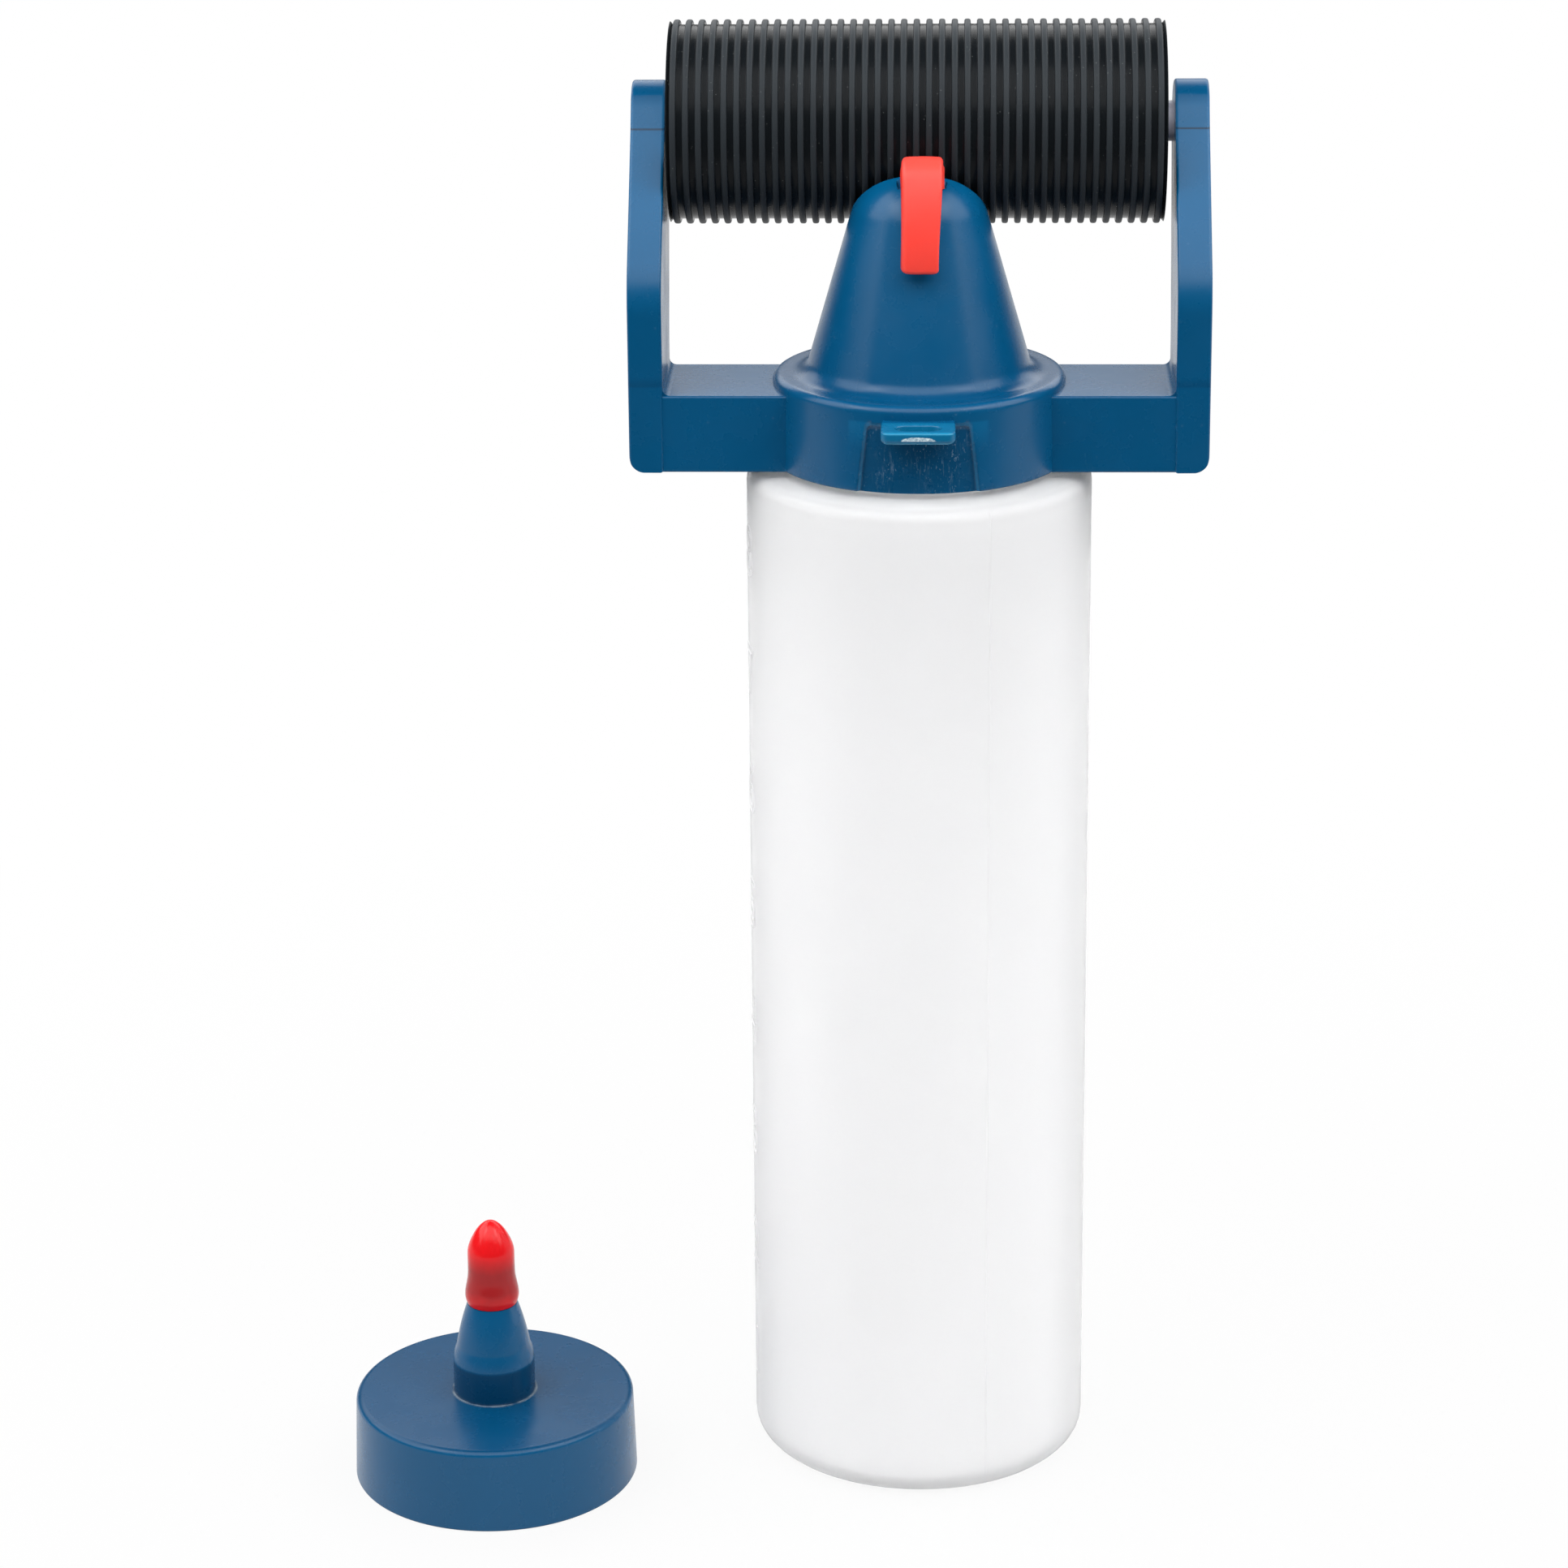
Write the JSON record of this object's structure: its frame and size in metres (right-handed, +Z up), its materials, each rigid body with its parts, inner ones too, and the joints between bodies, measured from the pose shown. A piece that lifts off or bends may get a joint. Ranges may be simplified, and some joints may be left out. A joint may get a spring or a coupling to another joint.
{
  "type": "glue roller bottle",
  "caption": "Round squeeze bottle with a screw-on head that holds a ribbed rubber roller over a domed glue spout, and a spare nozzle cap beside it.",
  "frame": {"origin": "centre of the bottle's base, on the table", "axes": "+Z up along the bottle's axis, -Y the front with the strap and the slotted tab, +X to the right along the roller"},
  "size_m": [0.1215, 0.0606, 0.2077],
  "materials": {
    "bottle_plastic": "translucent, satin",
    "blue_plastic": "satin moulded",
    "liner_foam": "matt foam",
    "axle_plastic": "smooth",
    "bush_plastic": "smooth",
    "core_plastic": "smooth",
    "black_rubber": "matt",
    "red_rubber": "satin"
  },
  "bodies": {
    "bottle": {"bottle": "bottle_plastic"},
    "liner": {"head_liner": "liner_foam"},
    "head": {"roller_head": "blue_plastic"},
    "axle": {"axle": "axle_plastic"},
    "roller": {"core_bush_left": "bush_plastic", "core_bush_right": "bush_plastic", "roller_core": "core_plastic", "roller_sleeve": "black_rubber"},
    "plug": {"spout_plug": "red_rubber"},
    "nozzle_cap": {"nozzle_cap": "blue_plastic", "nozzle_liner": "liner_foam"},
    "nozzle_tip": {"nozzle_tip": "red_rubber"}
  },
  "joints": [
    {"name": "head_rise", "type": "slide", "parent": "bottle", "child": "liner", "axis": [0, 0, 1], "range_m": [0, 0.0054]},
    {"name": "head_turn", "type": "hinge", "parent": "liner", "child": "head", "pos_m": [0, 0, 0.15], "axis": [0, 0, 1], "range_deg": [0, 450]},
    {"name": "roller_spin", "type": "hinge", "parent": "head", "child": "axle", "pos_m": [0, 0.011, 0.1936], "axis": [1, 0, 0], "continuous": true},
    {"name": "roller_float", "type": "slide", "parent": "axle", "child": "roller", "axis": [1, 0, 0], "range_m": [-0.0002, 0.001]},
    {"name": "plug_pull", "type": "slide", "parent": "head", "child": "plug", "axis": [0, 0, 1], "range_m": [0, 0.006]},
    {"name": "nozzle_cap_lift", "type": "slide", "parent": "bottle", "child": "nozzle_cap", "axis": [0, 0, 1], "range_m": [0, 0.08]},
    {"name": "nozzle_tip_pull", "type": "slide", "parent": "nozzle_cap", "child": "nozzle_tip", "axis": [0, 0, 1], "range_m": [0, 0.02]}
  ],
  "couplings": [
    {"joint": "head_rise", "follows": "head_turn", "m_per_rad": 0.00067322}
  ]
}
